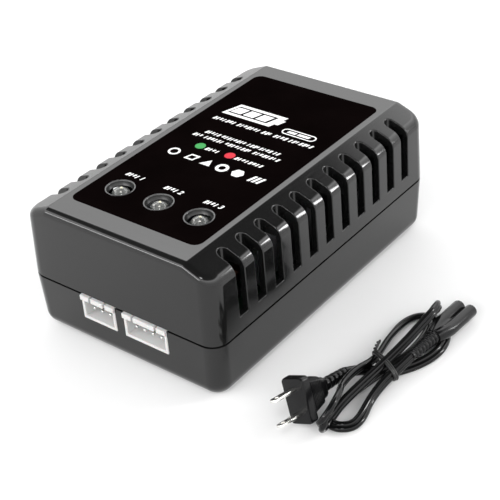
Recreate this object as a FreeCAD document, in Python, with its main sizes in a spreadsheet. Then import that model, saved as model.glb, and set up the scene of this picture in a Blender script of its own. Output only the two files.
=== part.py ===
"""Compact balance charger for small model-aircraft packs, with its folded mains lead.

Millimetres, +Z up. The origin is on the surface the charger stands on, under the middle of
its housing. X runs across the housing, Y along it; the balance sockets face -Y and the mains
inlet faces +Y. The lead lies on the same surface at the +X side.
"""
import FreeCAD, Part
import Sketcher
import math
import os
from FreeCAD import Placement, Rotation, Vector

doc = FreeCAD.newDocument("balance_charger")
sheet = doc.addObject("Spreadsheet::Sheet", "dims")
cell_rows = {}


def cell(alias, value):
    """Write one driving dimension into the spreadsheet under its alias."""
    row = len(cell_rows) + 1
    sheet.set(f"A{row}", alias.replace("_", " "))
    sheet.set(f"B{row}", repr(float(value)))
    sheet.setAlias(f"B{row}", alias)
    cell_rows[alias] = float(value)
    return float(value)


# ---------------------------------------------------------------- driving dimensions
WIDTH = cell("body_width", 57.0)
LENGTH = cell("body_length", 87.6)
HEIGHT = cell("body_height", 34.8)
PARTING = cell("parting_height", 15.0)
CORNER = cell("corner_radius", 4.2)
WALL = cell("wall_thickness", 1.8)
UPPER_DRAFT = cell("upper_draft_angle", 1.2)
LOWER_DRAFT = cell("lower_draft_angle", 2.0)
ROOF_HALF = cell("roof_half_width", 20.6)
SHOULDER = cell("shoulder_height", 31.9)
ROOF_UNDER = cell("roof_underside_height", 33.0)
EAVES_UNDER = cell("eaves_underside_height", 30.2)
TOP_ROUND = cell("top_edge_round", 2.0)
BASE_ROUND = cell("base_edge_round", 3.8)
FLOOR = cell("floor_thickness", 2.0)

SLOT_COUNT = 11
SLOT_WIDTH = cell("slot_width", 3.0)
SLOT_PITCH = cell("slot_pitch", 6.68)
SLOT_BOTTOM = cell("slot_bottom_height", 19.0)
SLOT_REACH = cell("slot_inner_reach", 22.5)

LABEL_WIDTH = cell("label_width", 38.2)
LABEL_LENGTH = cell("label_length", 72.8)
LABEL_DEPTH = cell("label_depth", 0.3)
LABEL_CORNER = cell("label_corner_radius", 2.3)
LAMP_PITCH = cell("lamp_pitch", 11.8)
LAMP_ROW = cell("lamp_row_offset", -26.75)
WINDOW_RADIUS = cell("window_radius", 3.65)
WINDOW_DEPTH = cell("window_depth", 1.0)
LAMP_RADIUS = cell("lamp_radius", 2.5)
LAMP_XS = (-LAMP_PITCH, 0.0, LAMP_PITCH)

BOARD_TOP = cell("board_top_height", 8.2)
BOARD_THICK = cell("board_thickness", 1.6)
SOCKET_FRONT = cell("socket_front_offset", -43.9)
SOCKET_DEPTH = cell("socket_depth", 8.9)
SOCKET_HEIGHT = cell("socket_height", 6.8)
SOCKET_WALL = cell("socket_wall", 0.8)
PIN_PITCH = cell("pin_pitch", 2.5)
PIN_SIZE = cell("pin_size", 0.64)
PIN_RECESS = cell("pin_recess", 1.0)
PIN_REACH = cell("pin_reach", 5.7)
SOCKETS = {"2s": (3, -6.65, 10.4), "3s": (4, 7.65, 12.9)}

INLET_WIDTH = cell("inlet_width", 17.4)
INLET_HEIGHT = cell("inlet_height", 11.8)
INLET_DEPTH = cell("inlet_depth", 16.0)
INLET_REAR = cell("inlet_rear_offset", 43.5)

BOSS_X = cell("boss_offset_across", 22.6)
BOSS_Y = cell("boss_offset_along", 38.3)
BOSS_RADIUS = cell("boss_radius", 2.8)
SCREW_RADIUS = cell("screw_shank_radius", 1.1)
SCREW_HEAD = cell("screw_head_radius", 2.0)
POST_X = cell("board_post_across", 21.0)
POST_Y = cell("board_post_along", 30.5)

nodes = []


def node(obj, label):
    """Register a finished sub-part under the name of its file."""
    obj.Label = label
    nodes.append(obj)
    return obj


def bind(obj, prop, alias):
    """Bind one property, or one named sketch constraint, to a spreadsheet cell."""
    obj.setExpression(prop, f"dims.{alias}")


# ---------------------------------------------------------------- PartDesign helpers
def new_body(label):
    return node(doc.addObject("PartDesign::Body", label), label)


def origin_plane(body, role):
    return next(f for f in body.Origin.OriginFeatures if f.Role == role)


def new_sketch(body, name, height=0.0, role="XY_Plane"):
    """A sketch on one of the body's own origin planes, raised along that plane's normal."""
    sketch = body.newObject("Sketcher::SketchObject", name)
    sketch.AttachmentSupport = [(origin_plane(body, role), "")]
    sketch.MapMode = "FlatFace"
    sketch.AttachmentOffset = Placement(Vector(0, 0, height), Rotation())
    return sketch


def add_polygon(sketch, points):
    """A closed outline of straight lines through the given points."""
    first = sketch.GeometryCount
    count = len(points)
    for i, point in enumerate(points):
        following = points[(i + 1) % count]
        sketch.addGeometry(Part.LineSegment(Vector(*point, 0), Vector(*following, 0)), False)
    for i in range(count):
        sketch.addConstraint(Sketcher.Constraint("Coincident", first + i, 2, first + (i + 1) % count, 1))
    return first


def add_rectangle(sketch, width, length, width_alias=None, length_alias=None, centre=(0.0, 0.0)):
    """A rectangle about a centre; its sides follow the named cells where they are given."""
    cx, cy = centre
    hw, hl = width / 2, length / 2
    corners = [(cx - hw, cy - hl), (cx + hw, cy - hl), (cx + hw, cy + hl), (cx - hw, cy + hl)]
    first = add_polygon(sketch, corners)
    for i, direction in enumerate(("Horizontal", "Vertical", "Horizontal", "Vertical")):
        sketch.addConstraint(Sketcher.Constraint(direction, first + i))
    if centre == (0.0, 0.0):
        sketch.addConstraint(Sketcher.Constraint("Symmetric", first, 1, first + 1, 2, -1, 1))
    sides = ((width_alias, 0, "DistanceX", width), (length_alias, 1, "DistanceY", length))
    for alias, edge, kind, value in sides:
        if alias:
            index = sketch.addConstraint(Sketcher.Constraint(kind, first + edge, 1, first + edge, 2, value))
            sketch.renameConstraint(index, alias)
            bind(sketch, f"Constraints.{alias}", alias)
    return first


def add_circles(sketch, centres, radius, alias):
    """Equal circles; the first one's radius follows the named cell."""
    first = sketch.GeometryCount
    for x, y in centres:
        sketch.addGeometry(Part.Circle(Vector(x, y, 0), Vector(0, 0, 1), radius), False)
    for i in range(1, len(centres)):
        sketch.addConstraint(Sketcher.Constraint("Equal", first, first + i))
    index = sketch.addConstraint(Sketcher.Constraint("Radius", first, radius))
    sketch.renameConstraint(index, alias)
    bind(sketch, f"Constraints.{alias}", alias)


def pad(body, sketch, name, length, taper=0.0, reverse=False):
    feature = body.newObject("PartDesign::Pad", name)
    feature.Profile = sketch
    feature.Length = length
    feature.TaperAngle = taper
    feature.Reversed = reverse
    doc.recompute()
    return feature


def pocket(body, sketch, name, length, taper=0.0, reverse=False, midplane=False):
    """Cut a sketch into the body and make sure that it really removed material."""
    before = body.Shape.Volume
    feature = body.newObject("PartDesign::Pocket", name)
    feature.Profile = sketch
    feature.Length = length
    feature.TaperAngle = taper
    feature.Reversed = reverse
    if midplane:
        feature.SideType = "Symmetric"
    doc.recompute()
    if body.Shape.Volume > before - 1e-3:
        raise RuntimeError(f"{name} removed nothing")
    return feature


def dress(body, kind, name, size, test):
    """Fillet or chamfer the edges of the body's tip that pass the test."""
    base = body.Tip
    chosen = [f"Edge{i + 1}" for i, edge in enumerate(base.Shape.Edges) if test(edge)]
    if not chosen:
        raise RuntimeError(f"{name} found no edge")
    feature = body.newObject(f"PartDesign::{kind}", name)
    feature.Base = (base, chosen)
    setattr(feature, "Radius" if kind == "Fillet" else "Size", size)
    doc.recompute()
    return feature


def rises(edge, least=3.0):
    box = edge.BoundBox
    return box.ZLength > least and box.XLength < 4 and box.YLength < 4


def cavity_corner(edge):
    """The four tall inner edges where the cavity's side walls meet."""
    middle = edge.BoundBox.Center
    inner_x, inner_y = WIDTH / 2 - WALL, LENGTH / 2 - WALL
    near = abs(abs(middle.x) - inner_x) < 0.6 and abs(abs(middle.y) - inner_y) < 0.6
    return near and rises(edge, 6)


def label_corner(edge):
    """The four short upright edges at the corners of the panel or of its recess."""
    box = edge.BoundBox
    beside = abs(abs(box.XMin) - LABEL_WIDTH / 2) < 0.01 and abs(abs(box.YMin) - LABEL_LENGTH / 2) < 0.01
    return beside and abs(box.ZLength - LABEL_DEPTH) < 0.01 and box.XLength < 0.01 and box.YLength < 0.01


def lies_at(edge, height, slack=0.02):
    box = edge.BoundBox
    return abs(box.ZMin - height) < slack and abs(box.ZMax - height) < slack


# ---------------------------------------------------------------- primitive helpers
def bound_size(obj, prop, alias, value):
    cell(alias, value)
    bind(obj, prop, alias)


def box(label, centre, size, base):
    """A plain block: centre in plan, size across, along and up, and the height it starts at."""
    block = doc.addObject("Part::Box", label)
    for prop, word, value in zip(("Length", "Width", "Height"), ("width", "length", "height"), size):
        bound_size(block, prop, f"{label}_{word}", value)
    block.Placement = Placement(Vector(centre[0] - size[0] / 2, centre[1] - size[1] / 2, base), Rotation())
    return block


def cylinder(label, start, radius, height, axis=Vector(0, 0, 1)):
    rod = doc.addObject("Part::Cylinder", label)
    bound_size(rod, "Radius", f"{label}_radius", radius)
    bound_size(rod, "Height", f"{label}_height", height)
    rod.Placement = Placement(Vector(*start), Rotation(Vector(0, 0, 1), axis))
    return rod


def ball(label, centre, radius):
    sphere = doc.addObject("Part::Sphere", label)
    bound_size(sphere, "Radius", f"{label}_radius", radius)
    sphere.Placement = Placement(Vector(*centre), Rotation())
    return sphere


def fuse(label, parts):
    whole = doc.addObject("Part::MultiFuse", label)
    whole.Shapes = parts
    whole.Refine = True
    return whole


def cut(label, base, tools):
    tool = tools[0] if len(tools) == 1 else fuse(f"{label}_tools", tools)
    result = doc.addObject("Part::Cut", label)
    result.Base = base
    result.Tool = tool
    return result


def group(label, parts):
    """Identical separate pieces that share one node."""
    bundle = doc.addObject("Part::Compound", label)
    bundle.Links = parts
    return node(bundle, label)


def block_node(label, centre, size, base):
    return node(box(label, centre, size, base), label)


# ---------------------------------------------------------------- housing
def draft_inset(height, draft):
    return height * math.tan(math.radians(draft))


def inlet_cutout(body, name):
    """Rear opening that both shells share, centred on the mains inlet."""
    sketch = new_sketch(body, f"{name}_outline", role="XZ_Plane")
    add_rectangle(sketch, INLET_WIDTH, INLET_HEIGHT, centre=(0.0, BOARD_TOP + INLET_HEIGHT / 2))
    sketch.AttachmentOffset = Placement(Vector(0, 0, -LENGTH / 2 - 2), Rotation())
    pocket(body, sketch, name, 8.0, reverse=True)


def make_upper_shell():
    """Cover: drafted walls, flat roof, sloping shoulders down both long sides, ventilation slots."""
    body = new_body("upper_shell")
    sketch = new_sketch(body, "cover_outline", PARTING)
    add_rectangle(sketch, WIDTH, LENGTH, "body_width", "body_length")
    pad(body, sketch, "cover_block", HEIGHT - PARTING, taper=-UPPER_DRAFT)
    dress(body, "Fillet", "cover_corners", CORNER, lambda e: rises(e, 10))

    sketch = new_sketch(body, "shoulder_cut", role="XZ_Plane")
    outside, above = WIDTH / 2 + 3, HEIGHT + 3
    slope = (HEIGHT - SHOULDER) / (WIDTH / 2 - draft_inset(SHOULDER - PARTING, UPPER_DRAFT) - ROOF_HALF)
    low = HEIGHT - slope * (outside - ROOF_HALF)
    for side in (-1, 1):
        add_polygon(sketch, [(side * ROOF_HALF, HEIGHT), (side * outside, low),
                             (side * outside, above), (side * ROOF_HALF, above)])
    pocket(body, sketch, "shoulder_slopes", LENGTH + 10, midplane=True)

    dress(body, "Fillet", "top_edges", TOP_ROUND, lambda e: e.BoundBox.ZMin > SHOULDER - 1.2)

    sketch = new_sketch(body, "cavity_outline", PARTING)
    add_rectangle(sketch, WIDTH - 2 * WALL, LENGTH - 2 * WALL)
    pocket(body, sketch, "cavity", EAVES_UNDER - PARTING, taper=-UPPER_DRAFT, reverse=True)
    dress(body, "Fillet", "cavity_corners", CORNER - WALL, cavity_corner)
    sketch = new_sketch(body, "roof_cavity_outline", EAVES_UNDER)
    add_rectangle(sketch, 2 * (ROOF_HALF - 1.2), LENGTH - 2 * WALL - 2.4)
    pocket(body, sketch, "roof_cavity", ROOF_UNDER - EAVES_UNDER, reverse=True)

    sketch = new_sketch(body, "boss_outline", PARTING)
    bosses = [(x, y) for x in (-BOSS_X, BOSS_X) for y in (-BOSS_Y, BOSS_Y)]
    add_circles(sketch, bosses, BOSS_RADIUS, "boss_radius")
    pad(body, sketch, "screw_bosses", EAVES_UNDER + 0.5 - PARTING)
    sketch = new_sketch(body, "boss_bores", PARTING)
    add_circles(sketch, bosses, SCREW_RADIUS, "screw_shank_radius")
    pocket(body, sketch, "screw_bores", 8.0, reverse=True)

    sketch = new_sketch(body, "label_outline", HEIGHT)
    add_rectangle(sketch, LABEL_WIDTH, LABEL_LENGTH, "label_width", "label_length")
    pocket(body, sketch, "label_recess", LABEL_DEPTH)
    dress(body, "Fillet", "label_recess_corners", LABEL_CORNER, label_corner)
    sketch = new_sketch(body, "window_outline", HEIGHT)
    add_circles(sketch, [(x, LAMP_ROW) for x in LAMP_XS], WINDOW_RADIUS, "window_radius")
    pocket(body, sketch, "lamp_windows", WINDOW_DEPTH)
    sketch = new_sketch(body, "lamp_hole_outline", HEIGHT)
    add_circles(sketch, [(x, LAMP_ROW) for x in LAMP_XS], LAMP_RADIUS, "lamp_radius")
    pocket(body, sketch, "lamp_holes", 4.0)

    inlet_cutout(body, "cover_inlet_opening")

    first_row = -(SLOT_COUNT - 1) / 2 * SLOT_PITCH
    sketch = new_sketch(body, "slot_outline", SLOT_BOTTOM)
    radius = SLOT_WIDTH / 2
    for side in (-1, 1):
        start = side * (SLOT_REACH + radius)
        far = side * (WIDTH / 2 + 2)
        low, high = first_row - radius, first_row + radius
        first = sketch.GeometryCount
        sketch.addGeometry(Part.LineSegment(Vector(start, low, 0), Vector(far, low, 0)), False)
        sketch.addGeometry(Part.LineSegment(Vector(far, low, 0), Vector(far, high, 0)), False)
        sketch.addGeometry(Part.LineSegment(Vector(far, high, 0), Vector(start, high, 0)), False)
        centre = Part.Circle(Vector(start, first_row, 0), Vector(0, 0, 1), radius)
        turn = (math.pi / 2, 3 * math.pi / 2) if side > 0 else (-math.pi / 2, math.pi / 2)
        sketch.addGeometry(Part.ArcOfCircle(centre, *turn), False)
        for a in range(2):
            sketch.addConstraint(Sketcher.Constraint("Coincident", first + a, 2, first + a + 1, 1))
        near, away = (1, 2) if side > 0 else (2, 1)
        sketch.addConstraint(Sketcher.Constraint("Coincident", first + 2, 2, first + 3, near))
        sketch.addConstraint(Sketcher.Constraint("Coincident", first + 3, away, first, 1))
    slots = pocket(body, sketch, "slot_pair", HEIGHT - SLOT_BOTTOM + 1, reverse=True)
    before = body.Shape.Volume
    row = body.newObject("PartDesign::LinearPattern", "slot_rows")
    row.Originals = [slots]
    row.Direction = (sketch, ["V_Axis"])
    row.Length = (SLOT_COUNT - 1) * SLOT_PITCH
    row.Occurrences = SLOT_COUNT
    body.Tip = row
    doc.recompute()
    if body.Shape.Volume > before - 100:
        raise RuntimeError("the slot rows were not cut")


def make_lower_shell():
    """Tray: walls that draw in towards the base, posts for the board, screw wells, openings."""
    body = new_body("lower_shell")
    sketch = new_sketch(body, "tray_outline", PARTING)
    add_rectangle(sketch, WIDTH, LENGTH, "body_width", "body_length")
    pad(body, sketch, "tray_block", PARTING, taper=-LOWER_DRAFT, reverse=True)
    dress(body, "Fillet", "tray_corners", CORNER, lambda e: rises(e, 10))

    sketch = new_sketch(body, "tray_cavity_outline", PARTING)
    add_rectangle(sketch, WIDTH - 2 * WALL, LENGTH - 2 * WALL)
    pocket(body, sketch, "tray_cavity", PARTING - FLOOR, taper=-LOWER_DRAFT)
    dress(body, "Fillet", "tray_cavity_corners", CORNER - WALL, cavity_corner)
    dress(body, "Fillet", "base_edges", BASE_ROUND, lambda e: lies_at(e, 0.0))

    sketch = new_sketch(body, "tray_boss_outline", FLOOR - 0.2)
    bosses = [(x, y) for x in (-BOSS_X, BOSS_X) for y in (-BOSS_Y, BOSS_Y)]
    add_circles(sketch, bosses, BOSS_RADIUS, "boss_radius")
    pad(body, sketch, "tray_bosses", PARTING - FLOOR + 0.2)
    sketch = new_sketch(body, "board_post_outline", FLOOR - 0.2)
    posts = [(x, y) for x in (-POST_X, POST_X) for y in (-POST_Y, POST_Y)]
    add_circles(sketch, posts, BOSS_RADIUS, "boss_radius")
    pad(body, sketch, "board_posts", BOARD_TOP - BOARD_THICK - FLOOR + 0.2)

    sketch = new_sketch(body, "through_outline")
    add_circles(sketch, bosses, SCREW_RADIUS, "screw_shank_radius")
    pocket(body, sketch, "screw_holes", PARTING + 1, reverse=True)
    sketch = new_sketch(body, "well_outline")
    add_circles(sketch, bosses, SCREW_HEAD, "screw_head_radius")
    pocket(body, sketch, "screw_wells", 5.0, reverse=True)

    sketch = new_sketch(body, "socket_notch_outline", role="XZ_Plane")
    for _, centre, width in SOCKETS.values():
        add_rectangle(sketch, width, SOCKET_HEIGHT, centre=(centre, BOARD_TOP + SOCKET_HEIGHT / 2))
    sketch.AttachmentOffset = Placement(Vector(0, 0, LENGTH / 2 - 6), Rotation())
    pocket(body, sketch, "socket_notches", 10.0, reverse=True)
    inlet_cutout(body, "tray_inlet_opening")


def make_face_label():
    """Thin printed panel in the roof's recess, with round openings over the lamps."""
    body = new_body("face_label")
    sketch = new_sketch(body, "panel_outline", HEIGHT - LABEL_DEPTH)
    add_rectangle(sketch, LABEL_WIDTH, LABEL_LENGTH, "label_width", "label_length")
    add_circles(sketch, [(x, LAMP_ROW) for x in LAMP_XS], WINDOW_RADIUS, "window_radius")
    pad(body, sketch, "panel", LABEL_DEPTH)
    dress(body, "Fillet", "panel_corners", LABEL_CORNER, label_corner)


def make_lamps():
    """Three round lamps on long legs, each seen through a raised rim in the roof."""
    for number, x in enumerate(LAMP_XS, start=1):
        rim_base = HEIGHT - WINDOW_DEPTH
        label = f"lamp_rim_{number}"
        outer = cylinder(f"{label}_outer", (x, LAMP_ROW, rim_base), WINDOW_RADIUS, WINDOW_DEPTH + 0.1)
        inner = cylinder(f"{label}_inner", (x, LAMP_ROW, rim_base - 0.5), WINDOW_RADIUS - 0.7, 2.5)
        node(cut(label, outer, [inner]), label)
        label = f"cell_lamp_{number}"
        dome_height = HEIGHT - 2.6
        lamp = [cylinder(f"{label}_barrel", (x, LAMP_ROW, dome_height - 4.4), LAMP_RADIUS, 4.4),
                ball(f"{label}_dome", (x, LAMP_ROW, dome_height), LAMP_RADIUS),
                cylinder(f"{label}_flange", (x, LAMP_ROW, dome_height - 4.6), 2.9, 1.0)]
        for leg in (-1.27, 1.27):
            lamp.append(cylinder(f"{label}_leg_{'a' if leg < 0 else 'b'}", (x + leg, LAMP_ROW, BOARD_TOP),
                                 0.3, dome_height - 4.2 - BOARD_TOP))
        node(fuse(label, lamp), label)


# ---------------------------------------------------------------- connectors
def make_balance_sockets():
    """White shrouds open to the front under three thick tabs, each with one row of square pins."""
    for name, (pins, centre, width) in SOCKETS.items():
        label = f"balance_socket_{name}"
        middle = SOCKET_FRONT + SOCKET_DEPTH / 2
        shroud = box(f"{label}_block", (centre, middle), (width, SOCKET_DEPTH, SOCKET_HEIGHT), BOARD_TOP)
        cavity_depth = SOCKET_DEPTH - 2.2
        cavity = box(f"{label}_cavity", (centre, SOCKET_FRONT + cavity_depth / 2 - 0.5),
                     (width - 2 * SOCKET_WALL, cavity_depth + 1, SOCKET_HEIGHT - 2 * SOCKET_WALL),
                     BOARD_TOP + SOCKET_WALL)
        tools = [cavity]
        latch_gap = width / 2 - 3.0
        for side in (-1, 1):
            tools.append(box(f"{label}_latch_slot_{'a' if side < 0 else 'b'}",
                             (centre + side * latch_gap, SOCKET_FRONT + 1.6), (0.6, 5.2, 3.0),
                             BOARD_TOP + SOCKET_HEIGHT - SOCKET_WALL - 0.4))
        hollow = cut(f"{label}_shroud", shroud, tools)
        split, half = latch_gap + 0.3, width / 2
        spans = ((-half, -split), (0.6 - split, split - 0.6), (split, half))
        tabs = [box(f"{label}_tab_{n}", (centre + (a + b) / 2, SOCKET_FRONT + 0.4), (b - a, 1.8, 1.4),
                    BOARD_TOP + SOCKET_HEIGHT - 1.4) for n, (a, b) in enumerate(spans, start=1)]
        node(fuse(label, [hollow, *tabs]), label)
        label = f"socket_pins_{name}"
        row = []
        for i in range(pins):
            x = centre + (i - (pins - 1) / 2) * PIN_PITCH
            row.append(box(f"{label}_{i + 1}", (x, SOCKET_FRONT + PIN_RECESS + PIN_REACH / 2),
                           (PIN_SIZE, PIN_REACH, PIN_SIZE),
                           BOARD_TOP + SOCKET_HEIGHT / 2 - PIN_SIZE / 2 - 0.4))
        group(label, row)


def make_mains_inlet():
    """Two-pole figure-eight inlet: a shroud open to the rear with two round pins."""
    label = "mains_inlet"
    middle = INLET_REAR - INLET_DEPTH / 2
    shroud = box(f"{label}_block", (0, middle), (INLET_WIDTH, INLET_DEPTH, INLET_HEIGHT), BOARD_TOP)
    height = BOARD_TOP + INLET_HEIGHT / 2
    cavity_depth = 12.0
    tools = [box(f"{label}_cavity_waist", (0, INLET_REAR - cavity_depth / 2 + 0.5),
                 (6.4, cavity_depth + 1, 8.6), height - 4.3)]
    for side in (-1, 1):
        tools.append(cylinder(f"{label}_cavity_lobe_{'a' if side < 0 else 'b'}",
                              (side * 3.2, INLET_REAR - cavity_depth, height), 4.3, cavity_depth + 1,
                              axis=Vector(0, 1, 0)))
    node(cut(label, shroud, tools), label)
    pins = []
    for end, side in (("a", -1), ("b", 1)):
        start = (side * 4.3, INLET_REAR - cavity_depth, height)
        pins.append(cylinder(f"inlet_pin_{end}", start, 1.2, 9.5, axis=Vector(0, 1, 0)))
    group("inlet_pins", pins)


# ---------------------------------------------------------------- electronics
def make_board():
    """Circuit board: wide between the screw bosses, narrower where it passes them."""
    body = new_body("main_board")
    sketch = new_sketch(body, "board_outline", BOARD_TOP - BOARD_THICK)
    wide, narrow, short, long = 24.4, 19.2, 34.8, 40.4
    quarter = [(wide, short), (narrow, short), (narrow, long)]
    outline = quarter + [(-x, y) for x, y in reversed(quarter)]
    outline += [(-x, -y) for x, y in quarter] + [(x, -y) for x, y in reversed(quarter)]
    add_polygon(sketch, outline)
    pad(body, sketch, "board_plate", BOARD_THICK)
    sketch = new_sketch(body, "board_hole_outline", BOARD_TOP - BOARD_THICK)
    add_circles(sketch, [(x, y) for x in (-POST_X, POST_X) for y in (-POST_Y, POST_Y)], SCREW_RADIUS,
                "screw_shank_radius")
    pocket(body, sketch, "board_holes", BOARD_THICK + 1, reverse=True)


def make_transformer():
    """Ferrite core with three legs along Z, a taped winding round the middle leg, a moulded base."""
    cx, cy, base = 10.0, 5.0, BOARD_TOP
    core = box("transformer_core_block", (cx, cy), (20.0, 5.2, 17.0), base)
    windows = []
    for end, side in (("a", -1), ("b", 1)):
        place = (cx + side * 4.9, cy)
        windows.append(box(f"transformer_window_{end}", place, (5.0, 7.0, 11.0), base + 3.0))
    node(cut("transformer_core", core, windows), "transformer_core")
    winding = box("transformer_winding_block", (cx, cy), (14.4, 15.0, 10.4), base + 3.3)
    leg = box("transformer_leg_space", (cx, cy), (4.9, 5.3, 12.0), base + 3.0)
    node(cut("transformer_winding", winding, [leg]), "transformer_winding")
    rails = []
    for end, side in (("a", -1), ("b", 1)):
        place = (cx, cy + side * 5.9)
        rails.append(box(f"transformer_base_rail_{end}", place, (18.0, 6.0, 2.9), base))
    group("transformer_base", rails)


def make_mains_side():
    """Mains half of the board, towards the inlet."""
    up = BOARD_TOP
    along = Vector(0, 1, 0)
    node(cylinder("bulk_capacitor", (-12.0, 13.0, up), 5.0, 17.0), "bulk_capacitor")
    block_node("filter_capacitor", (15.5, 21.5), (13.0, 6.0, 11.0), up)
    node(cylinder("surge_varistor", (-12.0, 23.2, up + 4.6), 4.2, 3.6, along), "surge_varistor")
    fuse_x, fuse_height = -19.5, up + 2.2
    fuse_parts = [cylinder("fuse_glass", (fuse_x, 10.5, fuse_height), 1.9, 14.0, along)]
    for end, y in (("a", 9.5), ("b", 22.5)):
        fuse_parts.append(cylinder(f"fuse_cap_{end}", (fuse_x, y, fuse_height), 2.1, 3.0, along))
        fuse_parts.append(box(f"fuse_leg_{end}", (fuse_x, y + 1.5), (0.8, 0.8, 2.2), up))
    node(fuse("mains_fuse", fuse_parts), "mains_fuse")
    block_node("bridge_rectifier", (-3.5, 20.0), (6.6, 8.0, 2.8), up)
    node(cylinder("safety_capacitor", (-3.2, 12.6, up + 3.7), 3.6, 2.6, along), "safety_capacitor")
    chip = [box("switching_chip_case", (-10.0, 1.5), (6.4, 9.6, 3.4), up + 0.5)]
    for end, side in (("a", -1), ("b", 1)):
        for i in range(4):
            place = (-10.0 + side * 3.6, 1.5 + (i - 1.5) * 2.54)
            chip.append(box(f"switching_chip_leg_{end}{i + 1}", place, (1.2, 0.5, 2.4), up))
    node(fuse("switching_chip", chip), "switching_chip")
    block_node("opto_coupler", (-3.2, 5.0), (4.6, 6.4, 3.2), up)


def make_battery_side():
    """Low-voltage half of the board, towards the balance sockets and the lamps."""
    up = BOARD_TOP
    tab = box("output_rectifier_tab", (17.5, -10.0), (1.2, 10.0, 15.0), up + 3.0)
    case = box("output_rectifier_case", (15.2, -10.0), (3.4, 10.0, 9.0), up + 3.0)
    legs = [box(f"output_rectifier_leg_{i + 1}", (15.2, -10.0 + (i - 1) * 2.54), (0.6, 0.9, 3.4), up)
            for i in range(3)]
    node(fuse("output_rectifier", [case, *legs]), "output_rectifier")
    node(tab, "output_rectifier_tab")
    cans = [cylinder(f"output_capacitor_{i + 1}", (-16.0 + 9.0 * i, -9.5, up), 4.0, 12.0)
            for i in range(2)]
    group("output_capacitors", cans)
    ring = doc.addObject("Part::Torus", "choke_coil_ring")
    bound_size(ring, "Radius1", "choke_coil_ring_radius", 4.4)
    bound_size(ring, "Radius2", "choke_coil_wire_radius", 2.0)
    ring.Placement = Placement(Vector(5.0, -11.0, up + 2.0), Rotation())
    node(ring, "choke_coil")
    group("charge_controllers", [box(f"charge_controller_{i + 1}", (LAMP_XS[i], -19.5), (5.0, 4.0, 1.6), up)
                                 for i in range(3)])
    group("sense_resistors", [box(f"sense_resistor_{i + 1}", (-17.7 + 7.08 * i, -23.4), (3.2, 1.6, 0.6), up)
                              for i in range(6)])
    block_node("barrier_sheet", (0.0, -4.2), (30.0, 0.4, 14.0), up)


def make_screws():
    """Housing screws in the base wells and board screws on the posts."""
    seat = 5.0
    for label, xs, ys, base, direction, length in (
            ("housing_screws", BOSS_X, BOSS_Y, seat, 1, 14.0),
            ("board_screws", POST_X, POST_Y, BOARD_TOP, -1, 1.6)):
        screws = []
        for i, (x, y) in enumerate([(sx * xs, sy * ys) for sx in (-1, 1) for sy in (-1, 1)], start=1):
            head_start = base - 1.4 if direction > 0 else base
            head = cylinder(f"{label}_{i}_head", (x, y, head_start), SCREW_HEAD - 0.1, 1.4)
            shank_start = base - 0.1 if direction > 0 else base - length
            shank = cylinder(f"{label}_{i}_shank", (x, y, shank_start), SCREW_RADIUS, length + 0.1)
            screws.append(fuse(f"{label}_{i}", [head, shank]))
        group(label, screws)


# ---------------------------------------------------------------- mains lead
HANK_HEIGHT = cell("hank_height", 3.4)
FAN_HEIGHT = cell("fan_height", 1.8)
LEAD_TIP = Vector(57.0, 14.2, 1.9)
LEAD_RELIEF_END = Vector(57.1, -11.0, 4.2)
LEAD_BODY_LENGTH = cell("lead_connector_length", 15.4)
PLUG_FACE = Vector(45.9, -39.5, 6.4)
PLUG_AXES = ((0.92, 0.02, 0.39), (-0.39, 0.19, 0.90), (-0.06, -0.98, 0.19))


def frame_rotation(x_axis, y_axis, z_axis):
    """Rotation whose local axes are the given directions, made square about the last one."""
    z = Vector(*z_axis).normalize()
    y = Vector(*y_axis)
    y = (y - z * y.dot(z)).normalize()
    x = y.cross(z)
    if x.dot(Vector(*x_axis)) < 0:
        raise RuntimeError("the axes are left-handed")
    return Rotation(x, y, z, "ZYX")


def placed(shape, origin, rotation, label):
    feature = doc.addObject("Part::Feature", label)
    feature.Shape = shape
    feature.Placement = Placement(origin, rotation)
    return node(feature, label)


def make_lead_connector():
    """Figure-eight connector of the lead, tip on the ground, with its ribbed strain relief."""
    along = (LEAD_TIP - LEAD_RELIEF_END).normalize()
    rotation = frame_rotation((1, 0, 0), (0, 0, 1), tuple(-along))
    barrel, spread, length = 1.55, 1.6, LEAD_BODY_LENGTH
    solid = Part.makeBox(2 * spread, 1.9, length - 1.5, Vector(-spread, -0.95, 1.5))
    for side in (-1, 1):
        solid = solid.fuse(Part.makeCylinder(barrel, length, Vector(side * spread, 0, 0)))
    for side in (-1, 1):
        solid = solid.cut(Part.makeCylinder(0.55, 6.0, Vector(side * spread, 0, -0.5)))
    placed(solid.removeSplitter(), LEAD_TIP, rotation, "lead_connector")
    sleeves = []
    for side in (-1, 1):
        sleeve = Part.makeCylinder(0.55, 5.0, Vector(side * spread, 0, 0.5))
        sleeves.append(sleeve.cut(Part.makeCylinder(0.4, 6.0, Vector(side * spread, 0, 0))))
    placed(Part.makeCompound(sleeves), LEAD_TIP, rotation, "lead_contacts")
    relief_length = (LEAD_TIP - LEAD_RELIEF_END).Length - length
    relief = Part.makeCone(1.75, 1.25, relief_length)
    for i in range(6):
        groove = Part.makeTorus(1.75 - 0.07 * i, 0.22, Vector(0, 0, 1.1 + 1.35 * i))
        relief = relief.cut(groove)
    placed(relief, LEAD_TIP - along * length, rotation, "lead_connector_relief")


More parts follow.
